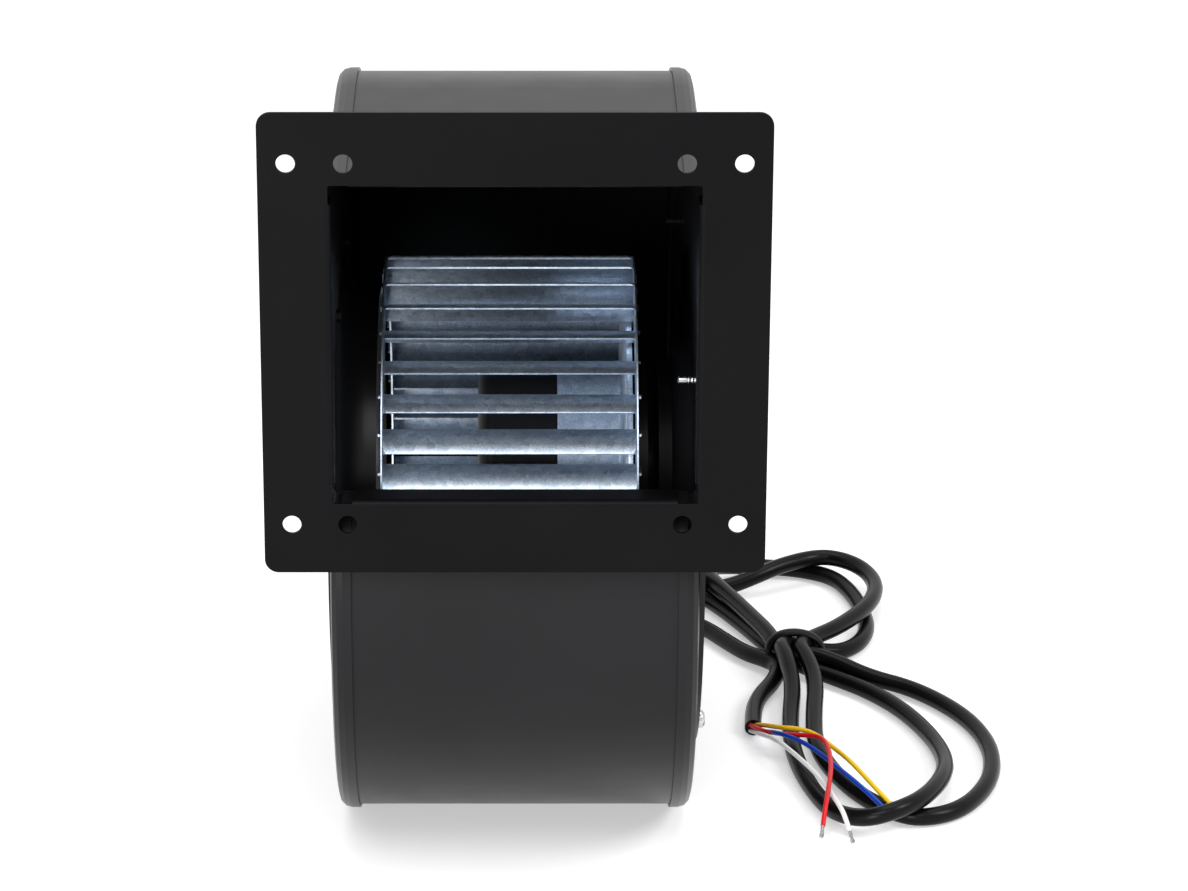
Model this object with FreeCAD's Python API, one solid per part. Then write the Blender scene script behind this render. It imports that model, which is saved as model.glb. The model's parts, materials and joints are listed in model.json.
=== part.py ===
import FreeCAD, Part
import math
import os

# Centrifugal blower with a forward-curved wheel, an external-rotor motor and a scroll housing.
# X is the wheel axis, the outlet faces -Y and +Z is up. The origin is on the surface that it stands on,
# in the middle of the housing's width and depth. All sizes are in millimetres and degrees.

# Sheet metal of the housing
SHEET = 1.2
SEAM_GAP = 0.1
RIM_WIDTH = 7.7
RIM_CORNER = 4.5

# Outlet flange and duct
FLANGE_WIDTH = 180.0
FLANGE_HEIGHT = 172.0
FLANGE_CORNER = 5.0
OPENING_WIDTH = 129.0
OPENING_HEIGHT = 117.0
LIP_DEPTH = 12.0
LIP_BEND = 2.2
NOTCH_LENGTH = 6.2
NOTCH_REACH = 1.0
NOTCH_CORNER = 0.9
BOLT_HOLE = 6.8
OUTER_HOLES_X = 160.0
INNER_HOLES_X = 120.0
HOLES_Z = 135.0
ROOF_DROP = 1.9
TONGUE_DEPTH = 18.5
TONGUE_WALL = 26.4
TONGUE_RADIUS = 4.5

# Scroll: gap from the wheel to the band's outer face in front, behind and on top
WHEEL_RADIUS = 80.5
FRONT_GAP = 27.0
BACK_GAP = 68.8
TOP_GAP = 69.8
AXIS_DEPTH = 112.0
FOOT_HALF_LENGTH = 20.0

# Wheel
WHEEL_INLET_GAP = 17.6
WHEEL_MOTOR_GAP = 21.6
BLADE_COUNT = 33
BLADE_SHEET = 0.7
BLADE_DEPTH = 14.0
BLADE_INNER_RADIUS = WHEEL_RADIUS - BLADE_DEPTH
BLADE_CURVE = 13.0
BLADE_TIP_CORNER = 1.5
BLADE_RECESS = 0.3
FIRST_BLADE = -31.9
RING_SHEET = 0.8
RING_LAND = 1.2
RING_INNER_RADIUS = BLADE_INNER_RADIUS - RING_LAND
RING_HEM = 2.8
RING_BEND = 1.4
TAB_WIDTH = 4.0
TAB_INSET = 7.0
TAB_RADIUS = WHEEL_RADIUS - TAB_INSET
TAB_HEIGHT = 1.0
HUB_SHEET = 1.0
HUB_CUP_DEPTH = 25.8
HUB_BEND = 2.0

# Motor
ROTOR_RADIUS = 39.0
ROTOR_WALL = 2.5
ROTOR_END = 3.0
ROTOR_CORNER = 6.0
ROTOR_GAP = 4.0
ROTOR_LENGTH = 64.0
ROTOR_BOSS_RADIUS = 8.0
ROTOR_BOSS_LENGTH = 9.4
MAGNET_THICKNESS = 2.0
MAGNET_LENGTH = 36.0
AIR_GAP = 0.9
STATOR_LENGTH = 26.0
STATOR_DEPTH = 18.0
YOKE_THICKNESS = 6.0
TOOTH_COUNT = 12
TOOTH_WIDTH = 4.4
SHOE_THICKNESS = 2.2
SHOE_WIDTH = 13.0
COIL_THICKNESS = 2.2
INSULATION_THICKNESS = 1.5
SHAFT_RADIUS = 4.0
SHAFT_OVERHANG = 4.0
BEARING_RADIUS = 11.0
BEARING_WIDTH = 7.0
RACE_THICKNESS = 2.0
SHIELD_THICKNESS = 0.4
BALL_COUNT = 6
PRELOAD_WASHER = 0.5
CIRCLIP_SHEET = 0.8
CIRCLIP_DEPTH = 0.6
TUBE_WALL = 2.6
MOTOR_FLANGE_RADIUS = 40.0
MOTOR_FLANGE_THICKNESS = 5.0
MOTOR_SCREW_CIRCLE = 31.0
BOARD_SHEET = 1.6
BOARD_RADIUS = 33.0
BOARD_STEP = 2.0
BOARD_STANDOFF = 12.0
CHIP_SIZE = 6.5
CHIP_HEIGHT = 2.4
CHIP_RADIUS = 25.0
CHIP_COUNT = 6

# Motor plate on the motor side, with a recess that takes the motor flange
PLATE_SHEET = 2.0
PLATE_REACH = 24.5
PLATE_RADIUS = WHEEL_RADIUS + PLATE_REACH
PLATE_SCREW_INSET = 4.5
PLATE_SCREW_CIRCLE = PLATE_RADIUS - PLATE_SCREW_INSET
PLATE_SCREW_TURN = -38.8
PLATE_BORE = 12.0
RECESS_RADIUS = 50.0
RECESS_DEPTH = 8.0
RECESS_SLOPE = 5.0
RECESS_BEND = 3.0
WHEEL_PASSAGE = 4.0

# Inlet nozzle on the other side
NOZZLE_MARGIN = 0.7
NOZZLE_THROAT = RING_INNER_RADIUS + NOZZLE_MARGIN
NOZZLE_CURVE = 14.0
NOZZLE_REACH = 27.0
NOZZLE_FLANGE = NOZZLE_THROAT + NOZZLE_REACH
NOZZLE_RUNNING_GAP = 0.9
NOZZLE_RIVET_INSET = 5.5
NOZZLE_RIVET_CIRCLE = NOZZLE_FLANGE - NOZZLE_RIVET_INSET
NOZZLE_RIVET_COUNT = 6
NOZZLE_SEAT_GAP = 0.6

# Screws and rivets
PLATE_SCREW = {"radius": 1.5, "head_radius": 3.4, "head_height": 2.5, "length": 10.0}
MOTOR_SCREW = {"radius": 2.0, "head_radius": 3.6, "head_height": 2.6, "length": 6.5}
SCREW_COUNT = 4
HEAD_ROUNDING = 0.8
HOLE_CLEARANCE = 0.2
RIVET_RADIUS = 1.6
RIVET_HEAD_RADIUS = 3.2
RIVET_HEAD_HEIGHT = 1.3
RIVET_TAIL_RADIUS = 2.4
RIVET_TAIL_HEIGHT = 1.8

# Cable
CABLE_RADIUS = 3.5
CORE_RADIUS = 0.95
TIN_RADIUS = 0.7
TIN_LENGTH = 6.0
BOOT_RADIUS = 5.6
BOOT_TIP_RADIUS = 4.4
BOOT_LENGTH = 30.0
BOOT_BASE_RADIUS = 6.2
BOOT_PLACE = 30.0
CABLE_BORE = 5.0
HANK_HEIGHT = 8.0
TIE_HALF_WIDTH = 12.4
TIE_HALF_HEIGHT = 9.4
TIE_SHEET = 1.6
TIE_LENGTH = 6.0
WAIST_LENGTH = 26.0

# Clearances of parts that fit inside each other
FIT_GAP = 0.05
BALL_GAP = 0.05


def scroll_radius(turn):
    """Radius of the band's outer face, quadratic in the turn: 0 is in front, 90 below and 180 behind."""
    back_growth = BACK_GAP - FRONT_GAP
    top_growth = TOP_GAP - FRONT_GAP
    curve = (top_growth / 270 - back_growth / 180) / 90
    growth = back_growth / 180 - 180 * curve
    return WHEEL_RADIUS + FRONT_GAP + growth * turn + curve * turn * turn


def scroll_point(turn, inset=0.0):
    """Point (y, z) from the wheel axis on the band's outer face, moved inwards by inset."""
    step = 0.01
    radius = scroll_radius(turn)
    slope = (scroll_radius(turn + step) - scroll_radius(turn - step)) / math.radians(2 * step)
    sine = math.sin(math.radians(turn))
    cosine = math.cos(math.radians(turn))
    length = math.hypot(radius, slope)
    normal_y = (-slope * sine - radius * cosine) / length
    normal_z = (slope * cosine - radius * sine) / length
    return -radius * cosine - inset * normal_y, -radius * sine - inset * normal_z


def solve(function, low, high):
    """Where a function that changes sign once between low and high is zero."""
    low_is_positive = function(low) > 0
    for _ in range(50):
        middle = (low + high) / 2
        if (function(middle) > 0) == low_is_positive:
            low = middle
        else:
            high = middle
    return (low + high) / 2


# Turns between which the scroll's lowest point, its foot and its rearmost point lie
FOOT_RANGE = (60, 125)
BACK_RANGE = (150, 210)


def scroll_turns(limits):
    """Turns every tenth of a degree between two limits."""
    return [tenth / 10 for tenth in range(limits[0] * 10, limits[1] * 10 + 1)]


# The outer face of a rolled rim lies this far outside the band
RIM_OUTSET = SEAM_GAP + SHEET

# The housing stands on a short flat across the lowest part of the scroll
LOWEST_TURN = min(scroll_turns(FOOT_RANGE), key=lambda turn: scroll_point(turn)[1])
FOOT_FRONT_Y = scroll_point(LOWEST_TURN)[0] - FOOT_HALF_LENGTH
FOOT_TURN = solve(lambda turn: scroll_point(turn)[0] - FOOT_FRONT_Y, FOOT_RANGE[0], LOWEST_TURN)
FOOT_Z = scroll_point(FOOT_TURN)[1]

# The housing's depth sets the frame
BACK_REACH = max(scroll_point(turn, -RIM_OUTSET)[0] for turn in scroll_turns(BACK_RANGE))
DEPTH = AXIS_DEPTH + BACK_REACH
FRONT_Y = -DEPTH / 2
AXIS_Y = FRONT_Y + AXIS_DEPTH
AXIS_Z = RIM_OUTSET - FOOT_Z
AXIS = FreeCAD.Vector(0, AXIS_Y, AXIS_Z)
ALONG_X = FreeCAD.Vector(1, 0, 0)

# The duct fits round the flange's lips and starts where their bend ends
DUCT_FRONT = FRONT_Y + LIP_BEND
WALL_X = OPENING_WIDTH / 2 + SHEET + SEAM_GAP
FACE_X = WALL_X + SHEET
SEAM_X = FACE_X - RIM_WIDTH
BAND_X = FACE_X - RIM_CORNER - SEAM_GAP
ROOF_Z = AXIS_Z + WHEEL_RADIUS + TOP_GAP - ROOF_DROP
OPENING_TOP = ROOF_Z - 2 * SHEET - SEAM_GAP
OPENING_Z = OPENING_TOP - OPENING_HEIGHT / 2
FLOOR_Z = OPENING_TOP - OPENING_HEIGHT - 2 * SHEET - SEAM_GAP

# The front wall leaves the scroll this far under the duct floor
WALL_RANGE = (-40, 60)
WALL_TURN = solve(lambda turn: AXIS_Z + scroll_point(turn)[1] - FLOOR_Z + TONGUE_WALL, *WALL_RANGE)

# Wheel places along X
WHEEL_LEFT = WHEEL_INLET_GAP - FACE_X
WHEEL_RIGHT = FACE_X - WHEEL_MOTOR_GAP
WHEEL_MIDDLE = (WHEEL_LEFT + WHEEL_RIGHT) / 2
HUB_FACE = WHEEL_RIGHT - RING_SHEET - RING_HEM
NOZZLE_END = WHEEL_LEFT - TAB_HEIGHT - NOZZLE_RUNNING_GAP

# Motor places along X and its nested radii
PLATE_FACE = FACE_X + PLATE_SHEET
RECESS_BACK = FACE_X - RECESS_DEPTH
RECESS_FACE = RECESS_BACK + PLATE_SHEET
MOTOR_FLANGE_X = RECESS_BACK - MOTOR_FLANGE_THICKNESS
ROTOR_BACK = MOTOR_FLANGE_X - ROTOR_GAP
ROTOR_FRONT = ROTOR_BACK - ROTOR_LENGTH
ROTOR_BORE = ROTOR_RADIUS - ROTOR_WALL
MAGNET_BORE = ROTOR_BORE - MAGNET_THICKNESS
STATOR_RADIUS = MAGNET_BORE - AIR_GAP
STATOR_START = ROTOR_FRONT + STATOR_DEPTH
STATOR_END = STATOR_START + STATOR_LENGTH
TUBE_RADIUS = BEARING_RADIUS + TUBE_WALL
YOKE_RADIUS = TUBE_RADIUS + YOKE_THICKNESS
BOSS_END = ROTOR_FRONT + ROTOR_END + ROTOR_BOSS_LENGTH
FIRST_BEARING = BOSS_END + PRELOAD_WASHER
SECOND_BEARING = MOTOR_FLANGE_X - BEARING_WIDTH - SHEET
BOARD_FACE = MOTOR_FLANGE_X - BOARD_STANDOFF
SHAFT_END = SECOND_BEARING + BEARING_WIDTH + CIRCLIP_SHEET + SHAFT_OVERHANG

# The cable leaves its boot on the motor plate, towards the back
CABLE_X = PLATE_FACE + BOOT_RADIUS + SEAM_GAP
CABLE_EXIT = (CABLE_X, AXIS_Y + BOOT_PLACE + BOOT_LENGTH, AXIS_Z)

# Routes as the photograph shows them, chosen by hand. The lead hangs behind the housing to the hank.
LEAD_ROUTE = [
    CABLE_EXIT,
    (74.8, 70.0, 134.5),
    (75.0, 103.0, 125.0),
    (75.4, 133.0, 102.0),
    (76.0, 152.0, 68.0),
    (77.0, 157.0, 26.0),
    (80.0, 134.7, 3.7),
    (94.5, 108.0, 3.7),
]
TAIL_ROUTE = [
    (109.5, 86.0, 7.0),
    (104.8, 72.5, 4.6),
    (99.8, 58.0, 3.7),
    (96.4, 43.5, 3.7),
    (96.4, 28.1, 3.7),
]
CORE_ROUTES = {
    "core_yellow": [(97.5, 28.0, 4.9), (100.0, 21.9, 7.5), (105.8, 12.4, 10.6), (113.9, 9.8, 11.0),
                    (120.0, 5.2, 11.0), (125.2, -2.7, 10.2), (131.8, -16.3, 10.0), (138.1, -33.1, 9.6),
                    (144.6, -49.5, 9.4)],
    "core_red": [(95.3, 28.0, 4.9), (98.6, 19.2, 9.0), (107.5, 7.5, 13.2), (115.5, 3.0, 13.8),
                 (122.0, -2.5, 13.6), (124.2, -14.0, 13.2), (123.9, -30.0, 12.8), (121.9, -46.0, 12.2),
                 (119.8, -59.5, 10.2), (118.4, -66.8, 5.2)],
    "core_blue": [(97.5, 28.0, 2.5), (100.4, 19.5, 6.0), (105.8, 7.5, 10.6), (113.5, 0.5, 10.6),
                  (119.9, -9.5, 10.4), (127.4, -25.0, 10.0), (135.2, -39.5, 9.6), (142.0, -53.5, 9.4)],
    "core_white": [(95.3, 28.0, 2.5), (97.9, 19.5, 5.2), (104.2, 4.5, 9.4), (111.2, -11.0, 9.6),
                   (117.4, -26.3, 9.5), (121.8, -41.0, 9.5), (124.6, -55.5, 9.9), (126.8, -64.0, 8.8),
                   (128.4, -70.5, 4.6)],
}
UPPER_LOBE = [(98, 101.5), (84, 109), (74.5, 132), (75.5, 160), (80.5, 184), (91, 199), (112, 210),
              (134, 217), (150, 213), (160, 198), (161, 170), (156.5, 140), (150, 114), (129, 101.5)]
LOWER_LOBE = [(129, 86.5), (150, 79), (169, 69), (186, 44), (193.5, 18), (194, -7), (188.5, -31), (174, -54),
              (160, -65), (146, -69.5), (133, -67), (120.5, -53), (111.5, -25), (107.3, 6), (107.5, 34),
              (110, 62), (106.5, 86.5)]
TIE_PLACE = FreeCAD.Vector(117.0, 94.0, TIE_HALF_HEIGHT + SEAM_GAP)


# Solids about the wheel axis

def cylinder(radius, start, end, y=0.0, z=0.0):
    return Part.makeCylinder(radius, end - start, AXIS + FreeCAD.Vector(start, y, z), ALONG_X)


def tube(outer, inner, start, end, y=0.0, z=0.0):
    return cylinder(outer, start, end, y, z).cut(cylinder(inner, start - 1, end + 1, y, z))


def block(start, end, y_low, y_high, z_low, z_high):
    corner = AXIS + FreeCAD.Vector(start, y_low, z_low)
    return Part.makeBox(end - start, y_high - y_low, z_high - z_low, corner)


def around(turn, radius):
    """Offset (y, z) from the axis of a point on a circle, with turn 0 in front and 90 below."""
    return -radius * math.cos(math.radians(turn)), -radius * math.sin(math.radians(turn))


def pattern(shape, count, start=0.0):
    """Copies of a shape spaced evenly about the wheel axis."""
    copies = []
    for index in range(count):
        copy = shape.copy()
        copy.rotate(AXIS, ALONG_X, start + 360 * index / count)
        copies.append(copy)
    return copies


def rounded_edges(corners, place):
    """Edges of a closed outline through (a, b, corner radius) points, with its corners rounded."""
    edges = []
    ends = []
    for index, (a, b, radius) in enumerate(corners):
        before = corners[index - 1]
        after = corners[(index + 1) % len(corners)]
        to_before = FreeCAD.Vector(before[0] - a, before[1] - b, 0).normalize()
        to_after = FreeCAD.Vector(after[0] - a, after[1] - b, 0).normalize()
        corner = FreeCAD.Vector(a, b, 0)
        if not radius:
            ends.append((corner, corner))
            continue
        half = to_before.getAngle(to_after) / 2
        trim = radius / math.tan(half)
        bisector = (to_before + to_after).normalize()
        middle = corner + bisector * (radius / math.sin(half) - radius)
        first = corner + to_before * trim
        last = corner + to_after * trim
        ends.append((first, last))
        edges.append(Part.Arc(place(first), place(middle), place(last)).toShape())
    for index, (first, _) in enumerate(ends):
        previous = ends[index - 1][1]
        if previous.distanceToPoint(first) > 1e-6:
            edges.append(Part.LineSegment(place(previous), place(first)).toShape())
    return Part.__sortEdges__(edges)


def revolved(corners):
    """Solid of revolution about the wheel axis from (x, radius, corner radius) points."""
    edges = rounded_edges(corners, lambda point: AXIS + FreeCAD.Vector(point.x, 0, point.y))
    return Part.Face(Part.Wire(edges)).revolve(AXIS, ALONG_X, 360)


# Scroll outline, used by the band and both side plates

def outline_edges(inset, x, front):
    """Edges of the housing's side view: roof, scroll, foot, scroll, front wall, tongue and duct floor."""
    def place(y, z):
        return FreeCAD.Vector(x, y, z)

    def on_scroll(turn):
        y, z = scroll_point(turn, inset)
        return place(AXIS_Y + y, AXIS_Z + z)

    def curve(start, end):
        steps = max(3, round(abs(end - start) / 10))
        spline = Part.BSplineCurve()
        spline.interpolate([on_scroll(start + (end - start) * step / steps) for step in range(steps + 1)])
        return spline.toShape()

    def foot_turn(low, high):
        return solve(lambda turn: scroll_point(turn, inset)[1] - FOOT_Z - inset, low, high)

    foot_front = foot_turn(FOOT_RANGE[0], LOWEST_TURN)
    foot_back = foot_turn(LOWEST_TURN, FOOT_RANGE[1])

    # The front wall leans back to the tongue, whose bend turns it forwards into the duct floor
    wall_y, wall_z = scroll_point(WALL_TURN)
    lean = math.atan2(FRONT_Y + TONGUE_DEPTH - AXIS_Y - wall_y, FLOOR_Z - AXIS_Z - wall_z)
    wall_start = on_scroll(WALL_TURN)
    floor = FLOOR_Z + inset
    nose = TONGUE_RADIUS - SHEET + inset
    corner_y = wall_start.y + (floor - wall_start.z) * math.tan(lean)
    trim = nose * math.tan((math.pi / 2 + lean) / 2)
    halfway = (math.pi / 2 - lean) / 2
    wall_end = place(corner_y - trim * math.sin(lean), floor - trim * math.cos(lean))
    nose_top = place(corner_y - trim, floor)
    nose_middle = place(nose_top.y + nose * math.cos(halfway), floor - nose + nose * math.sin(halfway))
    return [
        Part.LineSegment(place(front, ROOF_Z - inset), on_scroll(270)).toShape(),
        curve(270, foot_back),
        Part.LineSegment(on_scroll(foot_back), on_scroll(foot_front)).toShape(),
        curve(foot_front, WALL_TURN),
        Part.LineSegment(wall_start, wall_end).toShape(),
        Part.Arc(wall_end, nose_middle, nose_top).toShape(),
        Part.LineSegment(nose_top, place(front, floor)).toShape(),
    ]


def closing_edge(first_edges, first_end, second_edges, second_end):
    start = first_edges[first_end].Vertexes[first_end].Point
    end = second_edges[second_end].Vertexes[second_end].Point
    return Part.LineSegment(start, end).toShape()


def outline_wire(inset, x, front):
    edges = outline_edges(inset, x, front)
    edges.append(closing_edge(edges, -1, edges, 0))
    return Part.Wire(edges)


def scroll_band():
    """One bent strip: duct roof, scroll, front wall, tongue and duct floor."""
    outer = outline_edges(0.0, -BAND_X, DUCT_FRONT)
    inner = outline_edges(SHEET, -BAND_X, DUCT_FRONT)
    ends = [closing_edge(outer, 0, inner, 0), closing_edge(outer, -1, inner, -1)]
    wire = Part.Wire(Part.__sortEdges__(outer + inner + ends))
    return Part.Face(wire).extrude(FreeCAD.Vector(2 * BAND_X, 0, 0))


def tray(outset, face_x, corner, front):
    """Solid of the housing's outline that ends at face_x with a rounded edge."""
    start = face_x - corner
    sections = [outline_wire(-outset, SEAM_X, front)]
    for angle in (0, 30, 60, 90):
        turn = math.radians(angle)
        inset = corner * (1 - math.cos(turn)) - outset
        sections.append(outline_wire(inset, start + corner * math.sin(turn), front))
    return Part.makeLoft(sections, True, True)


def side_plate():
    """Flat plate with a rim rolled inwards over the band, for the motor side."""
    plate = tray(RIM_OUTSET, FACE_X, RIM_CORNER, DUCT_FRONT)
    return plate.cut(tray(SEAM_GAP, WALL_X, RIM_CORNER - SHEET, DUCT_FRONT - SHEET))


def mirrored(shape, plane_x=0.0):
    return shape.mirror(FreeCAD.Vector(plane_x, 0, 0), ALONG_X)


def motor_side_plate():
    passage = WHEEL_RADIUS + WHEEL_PASSAGE
    screws = hole_set(PLATE_SCREW["radius"], PLATE_SCREW_CIRCLE, SCREW_COUNT, PLATE_SCREW_TURN, SEAM_X, PLATE_FACE)
    return side_plate().cut([cylinder(passage, SEAM_X, PLATE_FACE)] + screws)


def inlet_side_plate():
    bore = NOZZLE_THROAT + NOZZLE_CURVE + NOZZLE_SEAT_GAP
    rivets = hole_set(RIVET_RADIUS, NOZZLE_RIVET_CIRCLE, NOZZLE_RIVET_COUNT, 0.0, -PLATE_FACE, -SEAM_X)
    return mirrored(side_plate()).cut([cylinder(bore, -PLATE_FACE, -SEAM_X)] + rivets)


def hole_set(radius, circle, count, first_turn, start, end):
    """Cylinders for holes on a circle about the wheel axis."""
    y, z = around(first_turn, circle)
    return pattern(cylinder(radius + FIT_GAP, start, end, y, z), count)


# Outlet flange

def lip(length):
    """Sheet bent back from the flange's face, over an opening edge that runs along X at the origin."""
    def place(point):
        return FreeCAD.Vector(-length / 2, point.x, point.y)

    corners = [
        (0, LIP_BEND, 0),
        (0, 0, LIP_BEND),
        (LIP_DEPTH, 0, 0),
        (LIP_DEPTH, SHEET, 0),
        (SHEET, SHEET, LIP_BEND - SHEET),
        (SHEET, LIP_BEND, 0),
    ]
    return Part.Face(Part.Wire(rounded_edges(corners, place))).extrude(FreeCAD.Vector(length, 0, 0))


def flange_window(width, height, corner=0.0):
    """Solid that cuts a window of this size through the flange."""
    window = Part.makeBox(width, 3 * SHEET, height, FreeCAD.Vector(-width / 2, FRONT_Y - SHEET, OPENING_Z - height / 2))
    if corner:
        window = window.makeFillet(corner, [edge for edge in window.Edges if runs_along_y(edge)])
    return window


def runs_along_y(edge):
    direction = edge.Vertexes[-1].Point - edge.Vertexes[0].Point
    return abs(direction.x) < 1e-6 and abs(direction.z) < 1e-6


def outlet_flange():
    corner = FreeCAD.Vector(-FLANGE_WIDTH / 2, FRONT_Y, OPENING_Z - FLANGE_HEIGHT / 2)
    plate = Part.makeBox(FLANGE_WIDTH, SHEET, FLANGE_HEIGHT, corner)
    plate = plate.makeFillet(FLANGE_CORNER, [edge for edge in plate.Edges if runs_along_y(edge)])
    lip_width = OPENING_WIDTH - 2 * NOTCH_LENGTH
    lip_height = OPENING_HEIGHT - 2 * NOTCH_LENGTH
    notched = flange_window(OPENING_WIDTH + 2 * NOTCH_REACH, OPENING_HEIGHT + 2 * NOTCH_REACH, NOTCH_CORNER)
    tall = flange_window(lip_width, OPENING_HEIGHT + 2 * LIP_BEND)
    wide = flange_window(OPENING_WIDTH + 2 * LIP_BEND, lip_height)
    cuts = [notched, tall, wide]
    for spacing in (OUTER_HOLES_X, INNER_HOLES_X):
        for side in (-1, 1):
            for level in (-1, 1):
                place = FreeCAD.Vector(side * spacing / 2, FRONT_Y - SHEET, OPENING_Z + level * HOLES_Z / 2)
                cuts.append(Part.makeCylinder(BOLT_HOLE / 2, 3 * SHEET, place, FreeCAD.Vector(0, 1, 0)))
    lips = []
    for quarter in range(4):
        length, reach = (lip_width, OPENING_HEIGHT / 2) if quarter % 2 == 0 else (lip_height, OPENING_WIDTH / 2)
        bent = lip(length)
        bent.translate(FreeCAD.Vector(0, FRONT_Y, reach))
        bent.rotate(FreeCAD.Vector(0, 0, 0), FreeCAD.Vector(0, 1, 0), 90 * quarter)
        bent.translate(FreeCAD.Vector(0, 0, OPENING_Z))
        lips.append(bent)
    return plate.cut(cuts).fuse(lips).removeSplitter()


# Inlet nozzle

def inlet_nozzle():
    """Bell mouth with a flat flange on the side plate and a throat that ends just before the wheel."""
    outside = -FACE_X - SHEET
    shell = revolved([
        (-FACE_X, NOZZLE_FLANGE, 0),
        (outside, NOZZLE_FLANGE, 0),
        (outside, NOZZLE_THROAT, NOZZLE_CURVE),
        (NOZZLE_END, NOZZLE_THROAT, 0),
        (NOZZLE_END, NOZZLE_THROAT + SHEET, 0),
        (-FACE_X, NOZZLE_THROAT + SHEET, NOZZLE_CURVE - SHEET),
    ])
    rivets = hole_set(RIVET_RADIUS, NOZZLE_RIVET_CIRCLE, NOZZLE_RIVET_COUNT, 0.0, outside - 1, -SEAM_X)
    return shell.cut(rivets)


def nozzle_rivets():
    """Blind rivets with a domed head outside and a set tail inside."""
    y, z = around(0.0, NOZZLE_RIVET_CIRCLE)
    outside = -FACE_X - SHEET
    head = cylinder(RIVET_HEAD_RADIUS, outside - RIVET_HEAD_HEIGHT, outside, y, z)
    head = head.makeFillet(HEAD_ROUNDING, [head.Edges[face_edge(head, outside - RIVET_HEAD_HEIGHT)]])
    tail = cylinder(RIVET_TAIL_RADIUS, -WALL_X, -WALL_X + RIVET_TAIL_HEIGHT, y, z)
    rivet = head.fuse([cylinder(RIVET_RADIUS, outside, -WALL_X, y, z), tail])
    return Part.makeCompound(pattern(rivet, NOZZLE_RIVET_COUNT))


def face_edge(shape, x):
    """Index of the round edge of a shape that lies in the plane at x."""
    for index, edge in enumerate(shape.Edges):
        box = edge.BoundBox
        if abs(box.XMin - x) < 1e-6 and abs(box.XMax - x) < 1e-6:
            return index
    raise ValueError("no edge at this place")


# Wheel

def blade_tip_angle():
    """Turn of the blade's arc at which it reaches its outer radius."""
    outer = WHEEL_RADIUS - BLADE_RECESS

    def excess(angle):
        across = BLADE_INNER_RADIUS + BLADE_CURVE * math.sin(angle)
        return math.hypot(across, BLADE_CURVE * (1 - math.cos(angle))) - outer

    return solve(excess, 0.1, math.pi / 2)


def blade_strip(start, end, thickness):
    """Curved strip from a radial inner edge to an outer edge that leads in the wheel's turning direction."""
    def on_arc(angle, side):
        radius = BLADE_CURVE + side * thickness / 2
        across = BLADE_INNER_RADIUS + radius * math.sin(angle)
        return AXIS + FreeCAD.Vector(start, -across, -BLADE_CURVE + radius * math.cos(angle))

    tip = blade_tip_angle()
    edges = [
        Part.Arc(on_arc(0, 1), on_arc(tip / 2, 1), on_arc(tip, 1)).toShape(),
        Part.LineSegment(on_arc(tip, 1), on_arc(tip, -1)).toShape(),
        Part.Arc(on_arc(tip, -1), on_arc(tip / 2, -1), on_arc(0, -1)).toShape(),
        Part.LineSegment(on_arc(0, -1), on_arc(0, 1)).toShape(),
    ]
    return Part.Face(Part.Wire(edges)).extrude(FreeCAD.Vector(end - start, 0, 0))


def tab_strip(thickness):
    """The blade's tabs, which pass through slots in both rings."""
    start = WHEEL_LEFT - TAB_HEIGHT
    end = WHEEL_RIGHT + TAB_HEIGHT
    band = tube(TAB_RADIUS + TAB_WIDTH / 2, TAB_RADIUS - TAB_WIDTH / 2, start, end)
    return blade_strip(start, end, thickness).common(band)


def wheel_blades():
    start = WHEEL_LEFT + RING_SHEET
    end = WHEEL_RIGHT - RING_SHEET
    envelope = revolved([
        (start, RING_INNER_RADIUS / 2, 0),
        (start, WHEEL_RADIUS, BLADE_TIP_CORNER),
        (end, WHEEL_RADIUS, BLADE_TIP_CORNER),
        (end, RING_INNER_RADIUS / 2, 0),
    ])
    blade = blade_strip(start, end, BLADE_SHEET).common(envelope).fuse(tab_strip(BLADE_SHEET))
    return Part.makeCompound(pattern(blade.removeSplitter(), BLADE_COUNT, FIRST_BLADE))


def end_ring():
    """Ring of the motor side, with its inner edge turned inwards as a hem and a slot for each blade's tab."""
    hem = RING_INNER_RADIUS + RING_SHEET
    ring = revolved([
        (WHEEL_RIGHT, WHEEL_RADIUS, 0),
        (WHEEL_RIGHT, RING_INNER_RADIUS, RING_BEND),
        (HUB_FACE, RING_INNER_RADIUS, 0),
        (HUB_FACE, hem, 0),
        (WHEEL_RIGHT - RING_SHEET, hem, RING_BEND - RING_SHEET),
        (WHEEL_RIGHT - RING_SHEET, WHEEL_RADIUS, 0),
    ])
    return ring.cut(pattern(tab_strip(BLADE_SHEET + 2 * FIT_GAP), BLADE_COUNT, FIRST_BLADE))


def hub_plate():
    """Disc with a drawn cup over the rotor and a rim that sits in the hem of the motor-side ring."""
    cup = ROTOR_RADIUS + FIT_GAP
    rim = RING_INNER_RADIUS - FIT_GAP
    left = HUB_FACE - HUB_SHEET
    return revolved([
        (HUB_FACE - HUB_CUP_DEPTH, cup, 0),
        (HUB_FACE - HUB_CUP_DEPTH, cup + HUB_SHEET, 0),
        (left, cup + HUB_SHEET, HUB_BEND),
        (left, rim, HUB_BEND),
        (HUB_FACE + RING_HEM - HUB_SHEET, rim, 0),
        (HUB_FACE + RING_HEM - HUB_SHEET, rim - HUB_SHEET, 0),
        (HUB_FACE, rim - HUB_SHEET, HUB_BEND - HUB_SHEET),
        (HUB_FACE, cup, HUB_BEND + HUB_SHEET),
    ])


# Motor: turning parts

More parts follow.
